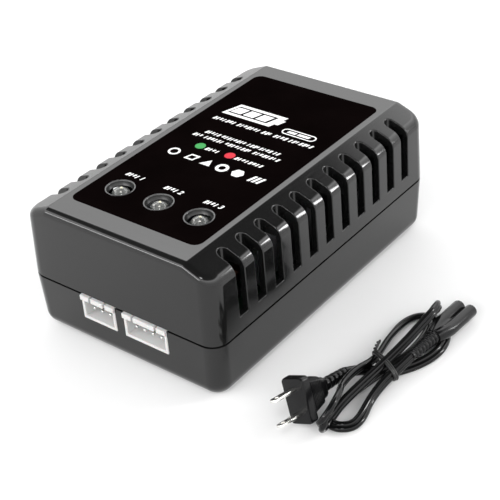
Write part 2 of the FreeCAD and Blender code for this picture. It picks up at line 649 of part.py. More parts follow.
def make_wall_plug():
    """Two-blade wall plug leaning on one edge of its face plate, blades towards -Y."""
    rotation = frame_rotation(*PLUG_AXES)
    plate = Part.makeBox(6.0, 10.5, 2.5, Vector(-3.0, -5.25, -2.5))
    plate = plate.makeFillet(0.9, [e for e in plate.Edges if e.BoundBox.ZLength > 2])

    def section(width, length, depth):
        x, y = width / 2, length / 2
        corners = ((-x, -y), (x, -y), (x, y), (-x, y), (-x, -y))
        return Part.makePolygon([Vector(a, b, depth) for a, b in corners])

    sections = [section(4.6, 8.4, -2.5), section(4.2, 7.4, -5.0), section(3.4, 4.6, -9.0)]
    grip = Part.makeLoft(sections, True, True)
    placed(plate.fuse(grip).removeSplitter(), PLUG_FACE, rotation, "wall_plug")
    relief = Part.makeCone(1.25, 1.5, 8.6, Vector(0, 0, -17.6))
    for i in range(5):
        relief = relief.cut(Part.makeTorus(1.32 + 0.04 * i, 0.2, Vector(0, 0, -16.4 + 1.35 * i)))
    placed(relief, PLUG_FACE, rotation, "wall_plug_relief")
    blades = []
    for side in (-1, 1):
        blade = Part.makeBox(2.7, 0.65, 7.0, Vector(-1.35, side * 2.8 - 0.325, 0))
        hole = Part.makeCylinder(0.6, 3.0, Vector(0, side * 2.8 - 1.5, 5.4), Vector(0, 1, 0))
        blades.append(blade.cut(hole))
    placed(Part.makeCompound(blades), PLUG_FACE, rotation, "plug_blades")


def make_cord_hank():
    """Outer form of the folded cord: two fans of loops, drawn in at the tie, lower under the connector."""
    outline = [(49.6, -12.0), (47.0, -5.0), (46.2, 2.0), (48.6, 7.2), (53.2, 8.8), (57.8, 6.8), (60.4, 2.0),
               (60.2, -4.0), (58.6, -9.4), (56.6, -14.0), (56.8, -20.0), (57.4, -28.0), (56.6, -34.6),
               (53.8, -39.2), (50.4, -39.6), (48.8, -35.0), (49.2, -29.0), (47.4, -23.4), (46.8, -19.4),
               (48.6, -15.6)]
    curve = Part.BSplineCurve()
    curve.interpolate(Points=[Vector(x, y, 0) for x, y in outline], PeriodicFlag=True)
    face = Part.Face(Part.Wire([curve.toShape()]))
    lying = face.extrude(Vector(0, 0, FAN_HEIGHT))
    heaped = face.extrude(Vector(0, 0, HANK_HEIGHT)).common(Part.makeBox(30, 34, 10, Vector(40, -42, 0)))
    placed(lying.fuse(heaped).removeSplitter(), Vector(0, 0, 0), Rotation(), "cord_hank")


def make_cord_tie():
    """Thin bag tie wrapped twice round the waist of the hank."""
    outer = Part.makeCylinder(5.0, 1.0)
    ring = outer.cut(Part.makeCylinder(4.6, 1.0))
    stretch = FreeCAD.Matrix()
    stretch.scale(1.0, 0.52, 1.0)
    ring = ring.transformGeometry(stretch)
    rotation = frame_rotation((0.9, -0.43, 0), (0, 0, 1), (-0.43, -0.9, 0))
    placed(ring, Vector(52.9, -15.2, 2.65), rotation, "cord_tie")


make_upper_shell()
make_lower_shell()
make_face_label()
make_lamps()
make_balance_sockets()
make_mains_inlet()
make_board()
make_transformer()
make_mains_side()
make_battery_side()
make_screws()
make_lead_connector()
make_wall_plug()
make_cord_hank()
make_cord_tie()
doc.recompute()

# ---------------------------------------------------------------- checks and files
for obj in doc.Objects:
    if {"Invalid", "Error"} & set(obj.State):
        raise RuntimeError(f"{obj.Label} failed: {obj.State}")
os.makedirs("parts", exist_ok=True)
for obj in nodes:
    shape = obj.Shape
    if shape.isNull() or not shape.isValid() or not shape.Solids:
        raise RuntimeError(f"{obj.Label} has no valid solid")
    shape.exportStep(f"parts/{obj.Label}.step")
    print(f"{obj.Label}: {len(shape.Solids)} solid(s), {shape.Volume:.1f} mm3")
print(f"{len(nodes)} nodes")
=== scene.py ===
"""Balance charger with its folded mains lead: looks, floor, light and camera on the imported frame."""
import math
import bmesh
import bpy
from mathutils import Matrix, Vector


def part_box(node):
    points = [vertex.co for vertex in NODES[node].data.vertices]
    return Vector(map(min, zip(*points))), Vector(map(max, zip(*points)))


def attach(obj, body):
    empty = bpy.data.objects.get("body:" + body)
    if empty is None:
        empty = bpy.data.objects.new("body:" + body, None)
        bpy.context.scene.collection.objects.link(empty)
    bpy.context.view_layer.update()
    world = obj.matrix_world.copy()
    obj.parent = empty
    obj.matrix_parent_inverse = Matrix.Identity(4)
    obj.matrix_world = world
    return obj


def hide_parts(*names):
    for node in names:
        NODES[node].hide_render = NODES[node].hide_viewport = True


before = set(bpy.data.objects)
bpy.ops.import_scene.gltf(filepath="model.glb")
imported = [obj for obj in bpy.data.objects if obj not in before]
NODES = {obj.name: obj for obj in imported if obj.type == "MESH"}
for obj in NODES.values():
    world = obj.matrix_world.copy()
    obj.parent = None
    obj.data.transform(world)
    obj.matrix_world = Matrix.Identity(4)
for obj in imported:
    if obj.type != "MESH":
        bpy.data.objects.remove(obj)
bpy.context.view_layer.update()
scene = bpy.context.scene
MM = 0.001

# The housing's own numbers, in metres, read from the CAD nodes
LABEL_LOW, LABEL_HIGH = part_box("face_label")
ROOF = LABEL_HIGH.z
RIMS = [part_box(f"lamp_rim_{n}") for n in (1, 2, 3)]
LAMPS = [((low + high) / 2).xy for low, high in RIMS]


# ---------------------------------------------------------------- small helpers
def mm(*point):
    return Vector(point) * MM


def link(obj):
    scene.collection.objects.link(obj)
    return obj


def baked(obj):
    """Replace an object's data with its evaluated mesh."""
    bpy.context.view_layer.update()
    graph = bpy.context.evaluated_depsgraph_get()
    mesh = bpy.data.meshes.new_from_object(obj.evaluated_get(graph), depsgraph=graph)
    obj.modifiers.clear()
    return mesh


def smooth(mesh, angle=35):
    for face in mesh.polygons:
        face.use_smooth = True
    mesh.set_sharp_from_angle(angle=math.radians(angle))


def piece(name, mesh, material, body, replaces=(), angle=35):
    """A finished piece: smooth, with its material, riding on a body."""
    smooth(mesh, angle)
    obj = link(bpy.data.objects.new(name, mesh))
    mesh.materials.clear()
    mesh.materials.append(material)
    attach(obj, body)
    if replaces:
        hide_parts(*replaces)
    return obj


def mesh_of(name, bm):
    mesh = bpy.data.meshes.new(name)
    bmesh.ops.recalc_face_normals(bm, faces=bm.faces)
    bm.to_mesh(mesh)
    bm.free()
    return mesh


def add_loft(bm, rings, caps=(True, True)):
    """Skin equal closed rings of points, and close the ends that are asked for."""
    rows = [[bm.verts.new(p) for p in ring] for ring in rings]
    count = len(rows[0])
    for a, b in zip(rows, rows[1:]):
        for i in range(count):
            j = (i + 1) % count
            bm.faces.new((a[i], a[j], b[j], b[i]))
    for wanted, row, order in ((caps[0], rows[0], -1), (caps[1], rows[-1], 1)):
        if wanted:
            bm.faces.new(row[::order])
    return rows


def add_box(bm, low, high, matrix=None):
    corners = [Vector((x, y, z)) for z in (low[2], high[2]) for x, y in (
        (low[0], low[1]), (high[0], low[1]), (high[0], high[1]), (low[0], high[1]))]
    if matrix is not None:
        corners = [matrix @ c for c in corners]
    return add_loft(bm, [corners[:4], corners[4:]])


def circle(radius, count):
    return [(radius * math.cos(math.tau * i / count), radius * math.sin(math.tau * i / count)) for i in range(count)]


def add_lathe(bm, profile, matrix, count=48, caps=(True, True)):
    """Turn (radius, height) pairs about the local Z axis."""
    rings = [[matrix @ Vector((x, y, height)) for x, y in circle(radius, count)] for radius, height in profile]
    return add_loft(bm, rings, caps)


def bevelled(mesh, width, segments=2, angle=30):
    """Round the sharp edges of a mesh with the bevel modifier."""
    holder = link(bpy.data.objects.new("holder", mesh))
    bevel = holder.modifiers.new("bevel", "BEVEL")
    bevel.width, bevel.segments = width, segments
    bevel.limit_method, bevel.angle_limit = "ANGLE", math.radians(angle)
    bevel.use_clamp_overlap = False
    bevel.miter_outer = "MITER_ARC"
    done = baked(holder)
    bpy.data.objects.remove(holder)
    return done


def softened(name, width, segments=3, angle=30):
    """A copy of a CAD node's mesh with flat faces merged and its edges rounded."""
    bm = bmesh.new()
    bm.from_mesh(NODES[name].data)
    bmesh.ops.remove_doubles(bm, verts=bm.verts, dist=2e-6)
    bmesh.ops.dissolve_limit(bm, angle_limit=math.radians(0.6), verts=bm.verts, edges=bm.edges)
    mesh = bpy.data.meshes.new(name + "_soft")
    bm.to_mesh(mesh)
    bm.free()
    return bevelled(mesh, width, segments, angle)


def square_to(axis, side):
    """Matrix whose Z is the axis and whose X is as near the side as it can be."""
    z = Vector(axis).normalized()
    x = Vector(side)
    x = (x - z * x.dot(z)).normalized()
    return Matrix((x, z.cross(x), z)).transposed().to_4x4()


# ---------------------------------------------------------------- camera
def make_camera():
    data = bpy.data.cameras.new("camera")
    data.sensor_width, data.lens = 36.0, 89.45
    data.clip_start, data.clip_end = 0.01, 20.0
    camera = link(bpy.data.objects.new("camera", data))
    forward = Vector((-0.52686, 0.63849, -0.56102)).normalized()
    up = Vector((-0.29983, 0.47801, 0.82559))
    right = forward.cross(up).normalized()
    up = right.cross(forward)
    turn = Matrix((right, up, -forward)).transposed().to_4x4()
    camera.matrix_world = Matrix.Translation(mm(168.023, -199.230, 182.480)) @ turn
    scene.camera = camera


make_camera()


# ---------------------------------------------------------------- materials
def shader(name, base, rough=0.4, **sockets):
    """A principled material; constants go on the shader's own sockets."""
    material = bpy.data.materials.new(name)
    material.use_nodes = True
    node = material.node_tree.nodes["Principled BSDF"]
    node.inputs["Base Color"].default_value = (*base, 1.0)
    node.inputs["Roughness"].default_value = rough
    for key, value in sockets.items():
        node.inputs[key.replace("_", " ")].default_value = value
    return material, node


def add(material, kind, **settings):
    node = material.node_tree.nodes.new(kind)
    for key, value in settings.items():
        if key in node.inputs:
            node.inputs[key].default_value = value
        else:
            setattr(node, key, value)
    return node


def wire(material, source, target):
    material.node_tree.links.new(source, target)


def ramp(material, source, stops):
    node = add(material, "ShaderNodeValToRGB")
    elements = node.color_ramp.elements
    while len(elements) < len(stops):
        elements.new(0.5)
    for element, (place, colour) in zip(elements, stops):
        element.position = place
        element.color = (*colour, 1.0) if len(colour) == 3 else colour
    wire(material, source, node.inputs["Fac"])
    return node.outputs["Color"]


def grey(value):
    return (value, value, value)


def textured(name, base, rough=(0.3, 0.4), scale=900.0, bump=0.15, depth=0.00002, tint=0.15, blot=60.0, **sockets):
    """Principled plastic or metal: blotchy colour and roughness, with a fine grain for bump."""
    material, node = shader(name, base, rough[0], **sockets)
    coords = add(material, "ShaderNodeTexCoord").outputs["Object"]
    wide = add(material, "ShaderNodeTexNoise", Scale=blot, Detail=4.0, Roughness=0.6)
    fine = add(material, "ShaderNodeTexNoise", Scale=scale, Detail=3.0, Roughness=0.55)
    for noise in (wide, fine):
        wire(material, coords, noise.inputs["Vector"])
    dark = tuple(c * (1 - tint) for c in base)
    light = tuple(min(1.0, c * (1 + tint)) for c in base)
    wire(material, ramp(material, wide.outputs["Fac"], [(0.3, dark), (0.7, light)]), node.inputs["Base Color"])
    wire(material, ramp(material, wide.outputs["Fac"], [(0.3, grey(rough[0])), (0.7, grey(rough[1]))]),
         node.inputs["Roughness"])
    height = add(material, "ShaderNodeBump", Strength=bump, Distance=depth)
    wire(material, fine.outputs["Fac"], height.inputs["Height"])
    wire(material, height.outputs["Normal"], node.inputs["Normal"])
    return material


def housing_plastic():
    """Polished black moulding: faint flow marks, hairline scuffs and slightly duller rubbed patches."""
    material, node = shader("housing_gloss", (0.012, 0.012, 0.012), 0.1, IOR=1.46)
    coords = add(material, "ShaderNodeTexCoord").outputs["Object"]
    flow = add(material, "ShaderNodeTexNoise", Scale=38.0, Detail=3.0, Roughness=0.5)
    stretch = add(material, "ShaderNodeMapping")
    stretch.inputs["Scale"].default_value = (2600.0, 160.0, 160.0)
    stretch.inputs["Rotation"].default_value = (0.2, 0.1, 0.5)
    scuff = add(material, "ShaderNodeTexNoise", Scale=1.0, Detail=2.0, Roughness=0.4)
    wire(material, coords, flow.inputs["Vector"])
    wire(material, coords, stretch.inputs["Vector"])
    wire(material, stretch.outputs["Vector"], scuff.inputs["Vector"])
    wire(material, ramp(material, flow.outputs["Fac"], [(0.3, grey(0.004)), (0.7, grey(0.006))]),
         node.inputs["Base Color"])
    rub = add(material, "ShaderNodeMath", operation="MULTIPLY")
    wire(material, flow.outputs["Fac"], rub.inputs[0])
    wire(material, scuff.outputs["Fac"], rub.inputs[1])
    wire(material, ramp(material, rub.outputs["Value"], [(0.18, grey(0.09)), (0.42, grey(0.14))]),
         node.inputs["Roughness"])
    height = add(material, "ShaderNodeBump", Strength=0.05, Distance=0.00001)
    wire(material, scuff.outputs["Fac"], height.inputs["Height"])
    wire(material, height.outputs["Normal"], node.inputs["Normal"])
    return material


MAT = {
    "housing": housing_plastic(),
    "label": textured("label_film", (0.0026, 0.0016, 0.0016), (0.5, 0.6), 2500.0, 0.08, 0.000008, 0.2, 90.0,
                      Specular_IOR_Level=0.0),
    "print": textured("print_white", (0.9, 0.9, 0.9), (0.5, 0.6), 3000.0, 0.05, 0.000004, 0.03,
                      Specular_IOR_Level=0.2),
    "print_green": textured("print_green", (0.035, 0.30, 0.07), (0.5, 0.6), 3000.0, 0.05, 0.000004, 0.06,
                            Specular_IOR_Level=0.2),
    "print_red": textured("print_red", (0.55, 0.012, 0.03), (0.5, 0.6), 3000.0, 0.05, 0.000004, 0.06,
                          Specular_IOR_Level=0.2),
    "rim": textured("rim_gloss", (0.05, 0.05, 0.05), (0.14, 0.22), 1500.0, 0.08, 0.000006, 0.2),
    "core": textured("lamp_core", (0.27, 0.27, 0.265), (0.3, 0.42), 1500.0, 0.1, 0.00001, 0.15),
    "lamp": textured("lamp_epoxy", (0.9, 0.92, 0.9), (0.04, 0.1), 700.0, 0.05, 0.00001, 0.03,
                     Transmission_Weight=1.0, IOR=1.5),
    # painted highlights: the next two materials colour the bright dots under the lamp domes
    "leadframe": textured("lamp_leadframe", (0.62, 0.61, 0.58), (0.25, 0.4), 2000.0, 0.1, 0.00001, 0.1, Metallic=1.0),
    "glint_pale": textured("lamp_die", (0.75, 0.72, 0.55), (0.4, 0.5), 3000.0, 0.1, 0.00001, 0.1),
    "nylon": textured("socket_nylon", (0.48, 0.48, 0.475), (0.38, 0.5), 1400.0, 0.12, 0.00001, 0.03,
                      Subsurface_Weight=0.15, Subsurface_Scale=0.001),
    "pin": textured("pin_tin", (0.78, 0.78, 0.76), (0.18, 0.32), 1800.0, 0.12, 0.000008, 0.08, Metallic=1.0),
    "inlet": textured("inlet_matt", (0.02, 0.02, 0.021), (0.4, 0.5), 1600.0, 0.25, 0.00002, 0.2),
    "lead": textured("lead_moulding", (0.005, 0.005, 0.0054), (0.16, 0.26), 1500.0, 0.2, 0.00002, 0.25, 120.0,
                     Specular_IOR_Level=0.2),
    "cable": textured("cable_pvc", (0.003, 0.003, 0.0032), (0.05, 0.1), 1100.0, 0.1, 0.00001, 0.25, 150.0,
                      Specular_IOR_Level=0.22),
    "tie": textured("tie_pvc", (0.008, 0.008, 0.008), (0.25, 0.4), 1500.0, 0.2, 0.00002, 0.2),
    "blade": textured("blade_nickel", (0.83, 0.82, 0.79), (0.16, 0.3), 900.0, 0.12, 0.00001, 0.06, 220.0,
                      Metallic=1.0),
    "steel": textured("screw_zinc", (0.52, 0.52, 0.54), (0.28, 0.42), 1300.0, 0.2, 0.00001, 0.12, Metallic=1.0),
}


# ---------------------------------------------------------------- mains lead: the cord
LOBE = 0.72 * MM
ROUTE = [mm(*p) for p in (
    (57.1, -11.0, 4.2), (56.6, -15.2, 3.5), (55.5, -19.4, 2.5),
    (55.5, -25.3, 1.4), (56.9, -30.9, 1.0), (56.8, -34.6, 1.0), (53.6, -36.8, 1.0), (50.4, -35.1, 1.0),
    (49.9, -31.4, 1.1), (51.1, -27.0, 1.4), (52.4, -21.2, 2.0), (54.0, -14.6, 2.4),
    (55.2, -6.1, 2.5), (54.0, 2.0, 2.4), (52.0, 3.6, 1.6), (52.5, 7.3, 3.8), (54.9, 5.5, 8.0), (55.7, 0.2, 8.6),
    (55.0, -2.6, 7.3), (54.4, -8.5, 5.8), (53.4, -16.0, 4.3),
    (52.4, -25.2, 3.4), (52.0, -32.0, 2.9), (51.9, -34.8, 1.8), (52.2, -39.2, 1.6), (53.4, -41.4, 4.9),
    (54.4, -38.9, 8.2), (52.9, -33.2, 8.0), (50.6, -29.5, 6.0), (49.0, -21.8, 4.1), (50.0, -14.6, 2.6),
    (47.3, -4.8, 1.2), (46.9, 3.2, 1.0), (49.3, 7.7, 1.0), (53.8, 8.0, 1.0), (58.0, 4.0, 1.0), (59.6, -1.9, 1.0),
    (58.3, -8.4, 1.0), (54.6, -14.6, 1.0), (50.8, -16.4, 1.0), (48.4, -18.4, 1.8), (47.0, -22.3, 3.0))]


def spline_points(name, points, resolution=14):
    """Points along a smooth third-order curve through the route."""
    data = bpy.data.curves.new(name, "CURVE")
    data.dimensions, data.resolution_u = "3D", resolution
    spline = data.splines.new("NURBS")
    spline.points.add(len(points) - 1)
    for slot, point in zip(spline.points, points):
        slot.co = (*point, 1.0)
    spline.order_u = 3
    spline.use_endpoint_u = True
    holder = link(bpy.data.objects.new(name, data))
    bpy.context.view_layer.update()
    graph = bpy.context.evaluated_depsgraph_get()
    mesh = bpy.data.meshes.new_from_object(holder.evaluated_get(graph), depsgraph=graph)
    line = [v.co.copy() for v in mesh.vertices]
    bpy.data.objects.remove(holder)
    return line


def peanut(direction, lobe, spread, waist):
    """Distance from the middle to the edge of two joined round cores, along one direction."""
    x, y = math.cos(direction), math.sin(direction)
    best = 0.0
    for side in (-spread, spread):
        under = lobe * lobe - (side * y) ** 2
        if under >= 0:
            best = max(best, side * x + math.sqrt(under))
    if abs(y) > 1e-9 and abs(waist / y * x) <= spread:
        best = max(best, waist / abs(y))
    return best


def make_cord():
    line = spline_points("lead_route", ROUTE)
    count = len(line)
    tangents = [(line[min(i + 1, count - 1)] - line[max(i - 1, 0)]).normalized() for i in range(count)]
    lean = [min(1.25, math.asin(max(0.1, min(1.0, (p.z - LOBE) / (0.5 * MM) * 0.9)))) for p in line]
    for _ in range(30):
        lean = [lean[0]] + [(a + 2 * b + c) / 4 for a, b, c in zip(lean, lean[1:], lean[2:])] + [lean[-1]]
    outline = [math.tau * i / 28 for i in range(28)]
    reach = [(math.cos(a) * r, math.sin(a) * r) for a, r in
             ((a, peanut(a, LOBE, 0.5 * MM, 0.42 * MM)) for a in outline)]
    rings = []
    for point, tangent, angle in zip(line, tangents, lean):
        across = tangent.cross(Vector((0, 0, 1))).normalized()
        above = across.cross(tangent).normalized()
        wide = across * math.cos(angle) + above * math.sin(angle)
        thin = tangent.cross(wide)
        rings.append([point + wide * x + thin * y for x, y in reach])
    bm = bmesh.new()
    add_loft(bm, rings)
    cord = piece("mains_cord", mesh_of("mains_cord", bm), MAT["cable"], "power_lead", ("cord_hank",), 60)
    length = sum((a - b).length for a, b in zip(line, line[1:]))
    return cord, line, length


CORD, CORD_LINE, CORD_LENGTH = make_cord()


# ---------------------------------------------------------------- mains lead: pieces on the cord
def make_connector():
    """Two round barrels with a channel between them, drawn together into a ribbed strain relief."""
    tip, relief_end = mm(57.0, 14.2, 1.9), mm(57.1, -11.0, 4.2)
    back = (relief_end - tip).normalized()
    place = Matrix.Translation(tip) @ square_to(back, (1, 0, 0))
    whole = (relief_end - tip).length
    stations = [(0.0, 1.35, 1.55, 0.3), (0.15, 1.5, 1.6, 0.3), (0.4, 1.55, 1.6, 0.32), (5.5, 1.55, 1.6, 0.34),
                (7.0, 1.55, 1.6, 0.7), (8.2, 1.55, 1.6, 1.05), (10.4, 1.58, 1.55, 1.1), (12.2, 1.6, 1.25, 1.2),
                (13.8, 1.62, 0.85, 1.4), (15.0, 1.68, 0.45, 1.6), (15.4, 1.62, 0.35, 1.55)]
    bm = bmesh.new()
    rings = []
    for depth, lobe, spread, waist in stations:
        ring = []
        for i in range(64):
            angle = math.tau * i / 64
            r = peanut(angle, lobe, spread, waist)
            ring.append(place @ mm(r * math.cos(angle), r * math.sin(angle), depth))
        rings.append(ring)
    add_loft(bm, rings, (True, True))
    body = mesh_of("lead_connector_body", bm)
    connector = piece("connector_barrels", body, MAT["lead"], "power_lead", ("lead_connector",), 40)

    bm = bmesh.new()
    for side in (-1.6, 1.6):
        hole = place @ Matrix.Translation(mm(side, 0, 0))
        mouth = [(0.62, -0.06), (0.95, -0.06), (0.95, 0.05), (0.62, 0.05)]
        add_lathe(bm, [(r * MM, h * MM) for r, h in mouth], hole, 32, (False, False))
    bores = piece("connector_mouths", mesh_of("connector_mouths", bm), MAT["tie"], "power_lead")
    bm = bmesh.new()
    for side in (-1.6, 1.6):
        hole = place @ Matrix.Translation(mm(side, 0, 0))
        ring = [(0.4, 0.02), (0.4, -0.03), (0.58, -0.03), (0.58, 0.02)]
        add_lathe(bm, [(r * MM, h * MM) for r, h in ring], hole, 32, (False, False))
        add_lathe(bm, [(0.4 * MM, 0.0), (0.02 * MM, 0.0)], hole, 32, (False, True))
    contacts = piece("connector_contacts", mesh_of("connector_contacts", bm), MAT["pin"], "power_lead",
                     ("lead_contacts",))

    profile = [(1.5, 15.2), (1.6, 15.5)]
    ribs, start, end = 7, 15.7, whole * 1000 - 0.9
    pitch = (end - start) / ribs
    for i in range(ribs):
        crest = 1.72 - 0.085 * i
        at = start + pitch * i
        profile += [(crest - 0.42, at), (crest - 0.08, at + 0.1 * pitch), (crest, at + 0.25 * pitch),
                    (crest, at + 0.5 * pitch), (crest - 0.08, at + 0.66 * pitch), (crest - 0.42, at + 0.76 * pitch)]
    profile += [(0.95, end), (0.85, end + 0.7)]
    bm = bmesh.new()
    add_lathe(bm, [(r * MM, h * MM) for r, h in profile], place, 40)
    relief = piece("connector_relief", mesh_of("connector_relief", bm), MAT["lead"], "power_lead",
                   ("lead_connector_relief",), 50)
    return [connector, bores, contacts, relief]


def make_plug():
    """Rectangular face plate, a grip with fine ridges across it, a ribbed relief and two flat blades."""
    axis = Vector((-0.06, -0.98, 0.19)).normalized()
    long_side = Vector((-0.39, 0.19, 0.90))
    long_side = (long_side - axis * long_side.dot(axis)).normalized()
    turn = Matrix((long_side.cross(axis), long_side, axis)).transposed().to_4x4()
    place = Matrix.Translation(mm(45.9, -39.5, 6.4)) @ turn

    def rounded(width, length, radius, depth, steps=6):
        ring = []
        for k, (sx, sy) in enumerate(((1, 1), (-1, 1), (-1, -1), (1, -1))):
            cx, cy = sx * (width / 2 - radius), sy * (length / 2 - radius)
            for i in range(steps + 1):
                a = math.pi / 2 * (k + i / steps)
                ring.append(place @ mm(cx + radius * math.cos(a), cy + radius * math.sin(a), depth))
        return ring

    bm = bmesh.new()
    edge = [(5.3, 9.8, 0.6, 0.0), (5.7, 10.2, 0.75, -0.06), (5.94, 10.44, 0.88, -0.28), (6.0, 10.5, 0.9, -0.55),
            (6.0, 10.5, 0.9, -2.0), (5.94, 10.44, 0.88, -2.25), (5.7, 10.2, 0.78, -2.45), (5.2, 9.6, 0.6, -2.5)]
    add_loft(bm, [rounded(*row) for row in edge])
    rings = [rounded(4.5, 8.3, 0.9, -2.45)]
    depth, ridge = -2.9, 0
    while depth > -7.0:
        k = (-2.5 - depth) / 6.5
        width, length = 4.55 - 1.0 * k, 8.3 - 3.1 * k
        for drop, at in ((0.34, 0.0), (0.0, -0.12), (0.0, -0.3), (0.34, -0.42)):
            rings.append(rounded(width - drop, length - drop, 0.95, depth + at))
        depth -= 0.52
    for width, length, at in ((3.5, 5.2, -7.3), (3.4, 4.8, -8.4), (3.1, 4.3, -8.9), (2.4, 3.4, -9.1)):
        rings.append(rounded(width, length, 1.0, at))
    add_loft(bm, rings)
    plug = piece("plug_moulding", mesh_of("plug_moulding", bm), MAT["lead"], "power_lead", ("wall_plug",), 32)

    profile = [(1.1, -17.6), (1.2, -17.4)]
    for i in range(5):
        crest, at = 1.3 + 0.06 * i, -17.1 + 1.6 * i
        profile += [(crest - 0.32, at), (crest - 0.05, at + 0.15), (crest, at + 0.4), (crest, at + 1.0),
                    (crest - 0.05, at + 1.2), (crest - 0.32, at + 1.32)]
    profile += [(1.5, -9.0), (1.5, -8.6)]
    bm = bmesh.new()
    add_lathe(bm, [(r * MM, h * MM) for r, h in profile], place, 40)
    relief = piece("plug_relief", mesh_of("plug_relief", bm), MAT["lead"], "power_lead", ("wall_plug_relief",), 50)

    bm = bmesh.new()
    for side in (-2.8, 2.8):
        low_y, high_y = side - 0.325, side + 0.325
        outer = [(-0.9, -0.3), (0.9, -0.3), (0.9, 6.4), (0.7, 6.85), (0.4, 7.0), (-0.4, 7.0), (-0.7, 6.85),
                 (-0.9, 6.4)]
        hole = [(0.4 * math.cos(a), 5.4 + 0.4 * math.sin(a)) for a in (math.tau * i / 16 for i in range(16))]
        layers = []
        for y in (low_y, high_y):
            layers.append(([bm.verts.new(place @ mm(x, y, z)) for x, z in outer],
                           [bm.verts.new(place @ mm(x, y, z)) for x, z in hole]))
        for loop in (0, 1):
            a, b = layers[0][loop], layers[1][loop]
            for i in range(len(a)):
                j = (i + 1) % len(a)
                bm.faces.new((a[i], a[j], b[j], b[i]))
        for rim, ring in layers:
            edges = [bm.edges.get((ring[i], ring[(i + 1) % len(ring)])) for i in range(len(ring))]
            edges += [bm.edges.get((rim[i], rim[(i + 1) % len(rim)])) for i in range(len(rim))]
            bmesh.ops.triangle_fill(bm, edges=edges, use_beauty=True)
    mesh = mesh_of("plug_blade_pair", bm)
    blades = piece("plug_blade_pair", bevelled(mesh, 0.09 * MM, 2, 50), MAT["blade"], "power_lead", ("plug_blades",),
                   35)
    return [plug, relief, blades]


def make_tie():
    """Wire bag tie: two turns round the waist and a short twisted end."""
    centre, across, up = mm(52.9, -15.2, 2.65), Vector((0.9, -0.43, 0)).normalized(), Vector((0, 0, 1))
    along = across.cross(up)
    turns = []
    for i in range(61):
        a = math.tau * 2 * i / 60 + 2.4
        drift = (-0.55 + 1.1 * i / 60) * MM
        wobble = 1 + 0.02 * math.sin(3 * a)
        turns.append(centre + across * (4.75 * MM * wobble * math.cos(a)) + up * (2.42 * MM * math.sin(a))
                     + along * (drift + 0.35 * MM * math.sin(a)))
    ends = []
    root = centre + across * (-4.3 * MM) + up * 1.7 * MM
    for phase in (0.0, math.pi):
        strand = []
        for i in range(15):
            t = i / 14
            axis = root + (across * -1.6 + along * -2.2 + up * 0.5) * MM * t
            strand.append(axis + (up * math.cos(phase + 9 * t) + along * math.sin(phase + 9 * t)) * 0.3 * MM)
        ends.append(strand)
    bm = bmesh.new()
    for path, radius in ((turns, 0.33 * MM), (ends[0], 0.26 * MM), (ends[1], 0.26 * MM)):
        rings = []
        for i, point in enumerate(path):
            tangent = (path[min(i + 1, len(path) - 1)] - path[max(i - 1, 0)]).normalized()
            side = tangent.cross(along if abs(tangent.dot(along)) < 0.9 else up).normalized()
            other = tangent.cross(side)
            rings.append([point + side * x + other * y for x, y in circle(radius, 12)])
        add_loft(bm, rings)
    return [piece("bag_tie", mesh_of("bag_tie", bm), MAT["tie"], "power_lead", ("cord_tie",), 60)]


make_connector() + make_plug() + make_tie()


# ---------------------------------------------------------------- housing
HALF_WIDTH, HALF_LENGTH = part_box("upper_shell")[1].x / MM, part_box("upper_shell")[1].y / MM
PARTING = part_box("upper_shell")[0].z / MM
CORNER, RIDGE, SHOULDER_SLOPE, TOP_ROUND, BASE_ROUND = 4.2, 20.6, 0.384, 2.0, 3.8
GROOVE = 0.24
DRAFT = 0.38
SLOT_HALF, SLOT_END = 1.5, 24.0
INLET_HALF = 8.75
RIDGE_STATIONS = (RIDGE + 0.3, RIDGE, RIDGE - 0.3)
SLOT_ROWS = [6.68 * (i - 5) for i in range(11)]


def roof_height(x):
    """Height of the outer surface over the plan: flat roof, eased ridge, sloping shoulder."""
    beyond = abs(x) - RIDGE
    if beyond <= -0.3:
        return ROOF / MM
    eased = (beyond + 0.3) ** 2 / 1.2 if beyond < 0.3 else beyond
    return ROOF / MM - SHOULDER_SLOPE * eased


def plan_loop(inset, corner, stations=(), half=None, steps=8):
    """Rounded rectangle, anticlockwise, with extra points where the ridges meet the short sides."""
    hw, hl = half or (HALF_WIDTH, HALF_LENGTH)
    hw, hl = hw - inset, hl - inset
    across = list(stations) + [-x for x in reversed(stations)]
    loop = []
    for k, (sx, sy) in enumerate(((1, 1), (-1, 1), (-1, -1), (1, -1))):
        cx, cy = sx * (hw - corner), sy * (hl - corner)
        for i in range(steps + 1):
            a = math.pi / 2 * (k + i / steps)
            loop.append((cx + corner * math.cos(a), cy + corner * math.sin(a)))
        if k == 0:
            loop += [(x, hl) for x in across]
        if k == 2:
            loop += [(-x, -hl) for x in across]
    return loop


def prism(bm, outline, low, high):
    """Upright block on a plan outline, all in millimetres."""
    add_loft(bm, [[mm(x, y, low) for x, y in outline], [mm(x, y, high) for x, y in outline]])


def rectangle(x0, y0, x1, y1):
    return [(x0, y0), (x1, y0), (x1, y1), (x0, y1)]


def carved(mesh, cutters, tag=0):
    """Cut tools out of a mesh; the faces they leave carry the tag as their material index."""
    blanks = [bpy.data.materials.new("blank_a"), bpy.data.materials.new("blank_b")]
    bm = bmesh.new()
    cutters(bm)
    tool_mesh = mesh_of("tool", bm)
    for data in (mesh, tool_mesh):
        while len(data.materials) < 2:
            data.materials.append(blanks[len(data.materials)])
    for face in tool_mesh.polygons:
        face.material_index = tag
    tool = link(bpy.data.objects.new("tool", tool_mesh))
    holder = link(bpy.data.objects.new("holder", mesh))
    cut = holder.modifiers.new("cut", "BOOLEAN")
    cut.operation, cut.object, cut.solver = "DIFFERENCE", tool, "EXACT"
    done = baked(holder)
    for obj in (tool, holder):
        bpy.data.objects.remove(obj)
    return done


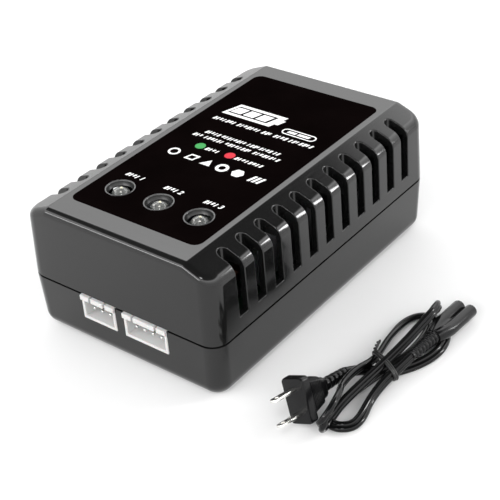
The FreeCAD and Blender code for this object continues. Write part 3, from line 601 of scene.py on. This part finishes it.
def eased_outline(mesh, width, segments=3, test=lambda edge: True):
    """Round the edges where a tagged cut meets the outer skin, and nothing else."""
    bm = bmesh.new()
    bm.from_mesh(mesh)
    layer = bm.edges.layers.float.new("bevel_weight_edge")
    for edge in bm.edges:
        kinds = {face.material_index for face in edge.link_faces}
        edge[layer] = 1.0 if len(kinds) == 2 and test(edge) else 0.0
    marked = bpy.data.meshes.new("marked")
    bm.to_mesh(marked)
    bm.free()
    for material in mesh.materials:
        marked.materials.append(material)
    holder = link(bpy.data.objects.new("holder", marked))
    bevel = holder.modifiers.new("bevel", "BEVEL")
    bevel.width, bevel.segments, bevel.limit_method = width, segments, "WEIGHT"
    bevel.use_clamp_overlap = False
    bevel.material = 0
    done = baked(holder)
    bpy.data.objects.remove(holder)
    return done


def true_normals(mesh, angle=35):
    """Face-weighted normals, so flat faces stay flat beside their rounded edges."""
    smooth(mesh, angle)
    holder = link(bpy.data.objects.new("holder", mesh))
    weighted = holder.modifiers.new("normals", "WEIGHTED_NORMAL")
    weighted.keep_sharp, weighted.weight, weighted.mode = True, 90, "FACE_AREA"
    done = baked(holder)
    bpy.data.objects.remove(holder)
    return done


def shell_piece(name, mesh, node):
    mesh = true_normals(mesh)
    mesh.materials.clear()
    mesh.materials.append(MAT["housing"])
    for face in mesh.polygons:
        face.material_index = 0
    obj = link(bpy.data.objects.new(name, mesh))
    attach(obj, "charger")
    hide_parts(node)


def make_cover():
    """Cover with drafted walls, rounded top edges, sloping shoulders and two rows of through slots."""
    bm = bmesh.new()
    rings = []
    for z, inset in ((0.01, 0.65), (GROOVE, 0.6), (GROOVE, 0.1), (GROOVE + 0.03, 0.03), (GROOVE + 0.1, 0.0)):
        rings.append([mm(x, y, PARTING + z) for x, y in plan_loop(inset, CORNER - inset, RIDGE_STATIONS)])
    for turn in (0, 11, 22, 34, 45, 56, 68, 79, 90):
        a = math.radians(turn)
        drawn = TOP_ROUND * (1 - math.cos(a))
        plan = plan_loop(DRAFT + drawn, CORNER - drawn, RIDGE_STATIONS)
        rings.append([mm(x, y, roof_height(x) - TOP_ROUND * (1 - math.sin(a))) for x, y in plan])
    rows = add_loft(bm, rings, (True, False))
    top = rows[-1]
    find = {}
    for vert in top:
        for station in RIDGE_STATIONS:
            for side in (-1, 1):
                if abs(vert.co.x / MM - side * station) < 1e-3:
                    find[side * station, vert.co.y > 0] = vert
    a, b, c = RIDGE_STATIONS
    bm.faces.new((find[-c, False], find[c, False], find[c, True], find[-c, True]))
    for side in (-1, 1):
        for p, q in ((a, b), (b, c)):
            bm.faces.new((find[side * p, False], find[side * q, False], find[side * q, True], find[side * p, True]))
        rim = [vert for vert in top if side * vert.co.x / MM >= a - 1e-3]
        middle = Vector((side * 24.0, 0, 0)) * MM
        rim.sort(key=lambda vert: math.atan2(vert.co.y - middle.y, vert.co.x - middle.x))
        bm.faces.new(rim)
    mesh = mesh_of("cover", bm)

    def slots(bm):
        for y in SLOT_ROWS:
            for side in (-1, 1):
                end = [(SLOT_END - SLOT_HALF * math.sin(t), y + SLOT_HALF * math.cos(t))
                       for t in (math.pi * i / 10 for i in range(11))]
                outline = [(side * x, y2) for x, y2 in [(31.0, y + SLOT_HALF)] + end + [(31.0, y - SLOT_HALF)]]
                prism(bm, outline, 19.0, 37.0)

    mesh = carved(mesh, slots, 1)
    mesh = eased_outline(mesh, 0.26 * MM, 3)
    for face in mesh.polygons:
        face.material_index = 0
    mesh = carved(mesh, lambda bm: prism(bm, label_outline(0.0), LABEL_LOW.z / MM, 37.0), 1)
    mesh = carved(mesh, lambda bm: [prism(bm, disc(p.x / MM, p.y / MM, 3.6, 48), 30.0, 37.0) for p in LAMPS])
    mesh = carved(mesh, lambda bm: prism(bm, plan_loop(1.8, 2.4), 13.0, 30.2))
    mesh = carved(mesh, lambda bm: prism(bm, plan_loop(1.8, 1.8, half=(21.2, 42.6)), 30.0, 33.0))
    mesh = carved(mesh, lambda bm: prism(bm, rectangle(-INLET_HALF, 40.0, INLET_HALF, 46.0), 8.0, 20.05))
    shell_piece("housing_cover", mesh, "upper_shell")


def make_tray():
    """Tray with nearly upright walls and a rounded base edge, open for the sockets, the inlet and four screws."""
    bm = bmesh.new()
    rings = []
    for turn in (90, 79, 68, 56, 45, 34, 22, 11, 0):
        a = math.radians(turn)
        drawn = BASE_ROUND * (1 - math.cos(a))
        plan = plan_loop(DRAFT + drawn, CORNER - drawn)
        rings.append([mm(x, y, BASE_ROUND * (1 - math.sin(a))) for x, y in plan])
    for z, inset in ((-GROOVE - 0.1, 0.01), (-GROOVE - 0.03, 0.04), (-GROOVE, 0.1), (-GROOVE, 0.6), (-0.01, 0.65)):
        rings.append([mm(x, y, PARTING + z) for x, y in plan_loop(inset, CORNER - inset)])
    add_loft(bm, rings)
    mesh = mesh_of("tray", bm)

    def wells(bm):
        for x in (-22.6, 22.6):
            for y in (-38.3, 38.3):
                prism(bm, disc(x, y, 2.0, 32), -1.0, 5.0)

    def notches(bm):
        for name in ("2s", "3s"):
            low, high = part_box(f"balance_socket_{name}")
            prism(bm, rectangle(low.x / MM - 0.05, -46.0, high.x / MM + 0.05, -38.0), low.z / MM - 0.05, 17.0)

    mesh = carved(mesh, wells, 1)
    mesh = eased_outline(mesh, 0.2 * MM, 2)
    for face in mesh.polygons:
        face.material_index = 0
    mesh = carved(mesh, notches, 1)
    mesh = carved(mesh, lambda bm: prism(bm, rectangle(-INLET_HALF, 40.0, INLET_HALF, 46.0), 8.15, 17.0), 1)
    mesh = eased_outline(mesh, 0.12 * MM, 2, lambda edge: all(v.co.z < (PARTING - 0.3) * MM for v in edge.verts))
    for face in mesh.polygons:
        face.material_index = 0

    def cavity(bm):
        low = [mm(x, y, 2.0) for x, y in plan_loop(2.3, 2.4)]
        high = [mm(x, y, 17.0) for x, y in plan_loop(1.75, 2.4)]
        add_loft(bm, [low, high])

    mesh = carved(mesh, cavity)
    shell_piece("housing_tray", mesh, "lower_shell")


def label_outline(gap):
    """The label's plan with rounded corners, in millimetres."""
    half = (LABEL_HIGH.x / MM - gap, LABEL_HIGH.y / MM - gap)
    return plan_loop(0.0, 2.3 - gap, half=half)


def disc(x, y, radius, count=32):
    return [(x + a, y + b) for a, b in circle(radius, count)]


make_cover()
make_tray()


# ---------------------------------------------------------------- label and print
INK = 0.02
SLANT = 0.32


def flat_shape(bm, outline, height):
    """A thin raised shape on a plan outline in millimetres."""
    prism(bm, outline, height, height + INK)


def slanted(x0, y0, x1, y1):
    lean = SLANT * (y1 - y0)
    return [(x0, y0), (x1, y0), (x1 + lean, y1), (x0 + lean, y1)]


def ring_strip(bm, outer, inner, height):
    """A flat frame between two outlines with the same number of corners."""
    rows = [[bm.verts.new(mm(x, y, z)) for x, y in loop]
            for loop, z in ((outer, height), (outer, height + INK), (inner, height + INK), (inner, height))]
    count = len(outer)
    for k in range(3):
        for i in range(count):
            j = (i + 1) % count
            bm.faces.new((rows[k][i], rows[k][j], rows[k + 1][j], rows[k + 1][i]))


def word_bars(bm, x0, y0, height, words, z, block=0.78, gap=0.2, space=0.75):
    """A line of slanted blocks in groups, standing for a printed line without being one."""
    x = x0
    marks = 0
    for count in words:
        for _ in range(count):
            wide = block * (0.85, 0.5, 0.7, 0.42, 0.78)[marks % 5]
            low = height * (0.0, 0.0, 0.28, 0.0, 0.0, 0.22, 0.0)[marks % 7]
            flat_shape(bm, slanted(x, y0 + low, x + wide, y0 + height), z)
            x += block + gap
            marks += 1
        x += space
    return x


def make_label():
    top = ROOF / MM
    outline = label_outline(0.05)
    bm = bmesh.new()
    loops = []
    for z in (top - 0.3, top):
        outer = [bm.verts.new(mm(x, y, z)) for x, y in outline]
        holes = [[bm.verts.new(mm(c.x / MM + a, c.y / MM + b, z)) for a, b in circle(3.66, 40)] for c in LAMPS]
        loops.append([outer, *holes])
    for low, high in zip(*loops):
        for i in range(len(low)):
            j = (i + 1) % len(low)
            bm.faces.new((low[i], low[j], high[j], high[i]))
    for layer in loops:
        edges = [bm.edges.get((loop[i], loop[(i + 1) % len(loop)])) for loop in layer for i in range(len(loop))]
        bmesh.ops.triangle_fill(bm, edges=edges, use_beauty=True)
    mesh = mesh_of("label_panel", bm)
    piece("label_panel", mesh, MAT["label"], "charger", ("face_label",), 30)

    z = top + 0.005
    bm = bmesh.new()
    # battery sign in three cells, with its terminal, in place of the printed name
    ring_strip(bm, slanted(-14.4, 14.6, 0.4, 20.5), slanted(-13.25, 15.6, -1.15, 19.5), z)
    flat_shape(bm, slanted(0.75, 16.3, 1.9, 18.8), z)
    for x in (-12.75, -8.85, -4.95):
        flat_shape(bm, slanted(x, 16.15, x + 3.15, 18.95), z)
    # outlined badge with two bars
    outer = disc(5.8, 14.95, 1.35, 24)[6:18] + disc(13.0, 14.95, 1.35, 24)[18:] + disc(13.0, 14.95, 1.35, 24)[:6]
    inner = disc(5.8, 14.95, 1.0, 24)[6:18] + disc(13.0, 14.95, 1.0, 24)[18:] + disc(13.0, 14.95, 1.0, 24)[:6]
    ring_strip(bm, outer, inner, z)
    flat_shape(bm, slanted(6.0, 14.5, 8.4, 15.4), z)
    flat_shape(bm, slanted(9.0, 14.5, 12.4, 15.4), z)
    # lines of blocks in place of the printed lines
    word_bars(bm, -14.6, 10.9, 1.35, (7, 7, 3, 4, 7), z, 0.78, 0.22, 0.62)
    word_bars(bm, -11.6, 4.1, 1.25, (5, 8, 8, 2), z, 0.72, 0.2, 0.5)
    word_bars(bm, -13.6, 1.7, 1.25, (3, 6, 8, 8), z, 0.76, 0.22, 0.6)
    word_bars(bm, -6.3, -2.6, 1.2, (4,), z, 0.85, 0.22)
    word_bars(bm, 2.7, -2.6, 1.2, (8,), z, 0.82, 0.22)
    # six plain marks
    ring_strip(bm, disc(-12.0, -7.0, 1.6), disc(-12.0, -7.0, 1.05), z)
    ring_strip(bm, slanted(-8.1, -8.3, -5.4, -5.8), slanted(-7.5, -7.8, -5.75, -6.3), z)
    flat_shape(bm, [(-3.2, -8.4), (-0.2, -8.4), (-1.2, -5.8)], z)
    ring_strip(bm, disc(3.0, -7.3, 1.7), disc(3.0, -7.3, 0.9), z)
    flat_shape(bm, disc(7.7, -7.4, 1.7, 6), z)
    for x in (11.3, 12.5, 13.7):
        flat_shape(bm, slanted(x, -8.8, x + 0.7, -6.2), z)
    # a bar before each lamp's numeral
    for spot in LAMPS:
        word_bars(bm, spot.x / MM - 3.1, -21.7, 1.35, (4,), z, 0.78, 0.2)
    piece("label_print", mesh_of("label_print", bm), MAT["print"], "charger")
    for name, material, x in (("print_dot_full", "print_green", -8.1), ("print_dot_busy", "print_red", 1.0)):
        bm = bmesh.new()
        flat_shape(bm, disc(x, -1.75, 1.35, 32), z)
        piece(name, mesh_of(name, bm), MAT[material], "charger")
    for number, spot in enumerate(LAMPS, start=1):
        data = bpy.data.curves.new(f"numeral_{number}", "FONT")
        data.body, data.size, data.extrude, data.shear, data.offset = str(number), 2.0 * MM, 0.01 * MM, 0.3, 0.05 * MM
        holder = link(bpy.data.objects.new(f"numeral_{number}", data))
        mesh = baked(holder)
        bpy.data.objects.remove(holder)
        mesh.transform(Matrix.Translation((spot.x + 1.15 * MM, -21.72 * MM, (z + 0.01) * MM)))
        piece(f"lamp_numeral_{number}", mesh, MAT["print"], "charger")


make_label()


# ---------------------------------------------------------------- lamps
def make_lamp(number, spot):
    """Grey rim, a well in dark tie material inside it as painted shade, and a clear round lamp with a frosted core and
    three bright dots on it as painted highlights.
    """
    top = ROOF / MM
    place = Matrix.Translation((spot.x, spot.y, 0))
    bm = bmesh.new()
    profile = [(3.6, top - 0.9), (3.62, top - 0.05), (3.6, top + 0.02), (3.5, top + 0.09), (3.38, top + 0.07),
               (3.28, top - 0.03), (3.24, top - 0.12)]
    add_lathe(bm, [(r * MM, h * MM) for r, h in profile], place, 64, (False, False))
    piece(f"lamp_rim_ring_{number}", mesh_of("rim", bm), MAT["rim"], "charger", (f"lamp_rim_{number}",), 50)
    # painted shade: the inside wall of the rim is drawn in a darker material than the rim's grey lip
    bm = bmesh.new()
    wall = [(3.24, top - 0.12), (3.2, top - 0.3), (3.02, top - 0.75), (2.8, top - 1.1)]
    add_lathe(bm, [(r * MM, h * MM) for r, h in wall], place, 64, (False, False))
    piece(f"lamp_shade_well_{number}", mesh_of("well", bm), MAT["tie"], "charger")
    bm = bmesh.new()
    centre, dome, inner = top - 2.6, 2.5, 2.3
    profile = [(dome, centre - 4.4), (2.9, centre - 4.4), (2.9, centre - 3.5), (dome, centre - 3.4), (dome, centre)]
    profile += [(dome * math.cos(a), centre + dome * math.sin(a)) for a in (math.pi / 2 * i / 14 for i in range(1, 14))]
    profile += [(0.03, centre + dome)]
    add_lathe(bm, [(r * MM, h * MM) for r, h in profile], place, 48)
    for leg in (-1.27, 1.27):
        add_lathe(bm, [(0.3 * MM, 8.2 * MM), (0.3 * MM, (centre - 4.4) * MM)],
                  place @ Matrix.Translation(mm(leg, 0, 0)), 12)
    piece(f"lamp_dome_{number}", mesh_of("dome", bm), MAT["lamp"], "charger", (f"cell_lamp_{number}",), 50)
    # frosted core under the clear skin, with three bright spheres on it as painted highlights, one near the top and two
    # towards the front
    bm = bmesh.new()
    core = [(inner, centre - 3.4), (inner, centre)]
    core += [(inner * math.cos(a), centre + inner * math.sin(a)) for a in (math.pi / 2 * i / 12 for i in range(1, 12))]
    core += [(0.03, centre + inner)]
    add_lathe(bm, [(r * MM, h * MM) for r, h in core], place, 48)
    piece(f"lamp_core_{number}", mesh_of("core", bm), MAT["core"], "charger")
    # painted highlights: bright metal and pale spheres just under the skin stand in for glints on the dome
    for name, material, radius, spots in (("front_glints", "leadframe", 0.3, ((-0.75, -0.95), (0.8, -0.8))),
                                          ("die", "glint_pale", 0.36, ((0.05, 0.35),))):
        bm = bmesh.new()
        for x, y in spots:
            height = centre + math.sqrt(inner ** 2 - x * x - y * y)
            bmesh.ops.create_uvsphere(bm, u_segments=16, v_segments=10, radius=radius * MM,
                                      matrix=place @ Matrix.Translation(mm(x, y, height)))
        piece(f"lamp_{name}_{number}", mesh_of(name, bm), MAT[material], "charger")


for number, spot in enumerate(LAMPS, start=1):
    make_lamp(number, spot)


# ---------------------------------------------------------------- sockets, inlet, screws
for name in ("2s", "3s"):
    piece(f"socket_shroud_{name}", softened(f"balance_socket_{name}", 0.16 * MM, 3), MAT["nylon"], "charger",
          (f"balance_socket_{name}",), 40)
    piece(f"socket_contacts_{name}", softened(f"socket_pins_{name}", 0.12 * MM, 2), MAT["pin"], "charger",
          (f"socket_pins_{name}",), 40)
piece("inlet_shroud", softened("mains_inlet", 0.25 * MM, 2), MAT["inlet"], "charger", ("mains_inlet",), 40)
piece("inlet_contacts", softened("inlet_pins", 0.35 * MM, 3), MAT["pin"], "charger", ("inlet_pins",), 40)


# ---------------------------------------------------------------- electronics: materials for the CAD nodes, four of them darkened as painted shade
INSIDE = {
    # painted shade: the board, the tape, the film box and the winding get far darker colours than their own, so the
    # inside stays as dark as its shade behind the slots
    "board_green": textured("board_mask_painted_shade", (0.006, 0.03, 0.012), (0.3, 0.42), 900.0, 0.2, 0.00002, 0.25, 300.0),
    "ferrite": textured("ferrite_grey", (0.02, 0.02, 0.021), (0.5, 0.65), 1500.0, 0.4, 0.00003, 0.2),
    "tape_dark": textured("tape_painted_shade", (0.012, 0.012, 0.012), (0.25, 0.4), 700.0, 0.15, 0.00002, 0.1),
    "moulded_black": textured("moulded_case", (0.022, 0.022, 0.023), (0.42, 0.55), 1800.0, 0.3, 0.00002, 0.2),
    "capacitor_sleeve": textured("capacitor_sleeve", (0.012, 0.015, 0.024), (0.2, 0.32), 800.0, 0.15, 0.00002, 0.15),
    "film_grey": textured("film_box_painted_shade", (0.016, 0.016, 0.017), (0.25, 0.4), 900.0, 0.15, 0.00002, 0.08),
    "disc_blue": textured("dipped_disc", (0.02, 0.05, 0.13), (0.22, 0.4), 700.0, 0.35, 0.00004, 0.15),
    "fuse_glass": textured("fuse_tube", (0.8, 0.85, 0.85), (0.05, 0.15), 700.0, 0.05, 0.00001, 0.05,
                           Transmission_Weight=0.6, IOR=1.5),
    "tab_metal": textured("tab_aluminium", (0.7, 0.7, 0.72), (0.3, 0.45), 1200.0, 0.2, 0.00001, 0.08, Metallic=1.0),
    "winding_copper": textured("winding_painted_shade", (0.06, 0.022, 0.012), (0.25, 0.4), 2200.0, 0.8, 0.0001, 0.25,
                               Metallic=0.8),
    "barrier_white": textured("barrier_sheet", (0.82, 0.82, 0.8), (0.4, 0.55), 900.0, 0.12, 0.00001, 0.04),
    "screw_steel": MAT["steel"],
    "tinned_pin": MAT["pin"],
}
for name, node in NODES.items():
    for material_slot in node.material_slots:
        key = material_slot.material.name.split(".")[0] if material_slot.material else ""
        if key in INSIDE:
            material_slot.material = INSIDE[key]


# ---------------------------------------------------------------- floor, light, world
def make_floor():
    bm = bmesh.new()
    size, cells = 1.6, 8
    for i in range(cells + 1):
        for j in range(cells + 1):
            bm.verts.new((-size + 2 * size * i / cells, -size + 2 * size * j / cells, 0.0))
    bm.verts.ensure_lookup_table()
    for i in range(cells):
        for j in range(cells):
            a = i * (cells + 1) + j
            bm.faces.new((bm.verts[a], bm.verts[a + cells + 1], bm.verts[a + cells + 2], bm.verts[a + 1]))
    floor = link(bpy.data.objects.new("floor", mesh_of("floor", bm)))
    floor.data.materials.append(textured("floor_paper", (0.86, 0.86, 0.86), (0.75, 0.85), 300.0, 0.03, 0.00002, 0.01,
                                         8.0, Specular_IOR_Level=0.1))


def soft_box(name, place, size, power):
    """A rectangular lamp aimed at the middle of the part."""
    data = bpy.data.lights.new(name, "AREA")
    data.shape, data.size, data.size_y = "RECTANGLE", size[0], size[1]
    data.energy = power
    data.spread = math.radians(180)
    light = link(bpy.data.objects.new(name, data))
    light.location = place
    light.rotation_euler = (Vector((0, 0, 0.02)) - Vector(place)).to_track_quat("-Z", "Y").to_euler()


def make_key():
    """A weak, wide sun from the front and above."""
    sun = bpy.data.lights.new("key", "SUN")
    sun.energy, sun.angle = 0.4, math.radians(10)
    key = link(bpy.data.objects.new("key", sun))
    key.rotation_euler = Vector((0.3, -0.5, 0.8)).to_track_quat("Z", "Y").to_euler()


make_floor()
soft_box("box_back_right", (0.80, 0.80, 0.40), (0.09, 0.4), 3.2)
soft_box("box_front", (-0.28, -0.92, 0.50), (1.1, 0.11), 4.5)
make_key()


def make_world():
    """Studio tent: bright walls all round up to the roof line, dim overhead."""
    world = bpy.data.worlds.new("studio")
    scene.world = world
    world.use_nodes = True
    tree = world.node_tree
    sky = tree.nodes["Background"]
    coords = tree.nodes.new("ShaderNodeTexCoord")
    split = tree.nodes.new("ShaderNodeSeparateXYZ")
    stops = tree.nodes.new("ShaderNodeValToRGB")
    tree.links.new(coords.outputs["Generated"], split.inputs[0])
    tree.links.new(split.outputs["Z"], stops.inputs["Fac"])
    tree.links.new(stops.outputs["Color"], sky.inputs["Color"])
    elements = stops.color_ramp.elements
    heights = ((0.0, 0.36), (0.30, 0.36), (0.44, 0.55), (0.53, 0.68), (0.62, 1.0), (0.71, 0.045), (1.0, 0.022))
    while len(elements) < len(heights):
        elements.new(0.5)
    for element, (height, value) in zip(elements, heights):
        element.position = height
        element.color = (value, value, value, 1.0)
    sky.inputs["Strength"].default_value = 4.2


make_world()
scene.view_settings.view_transform = "Standard"
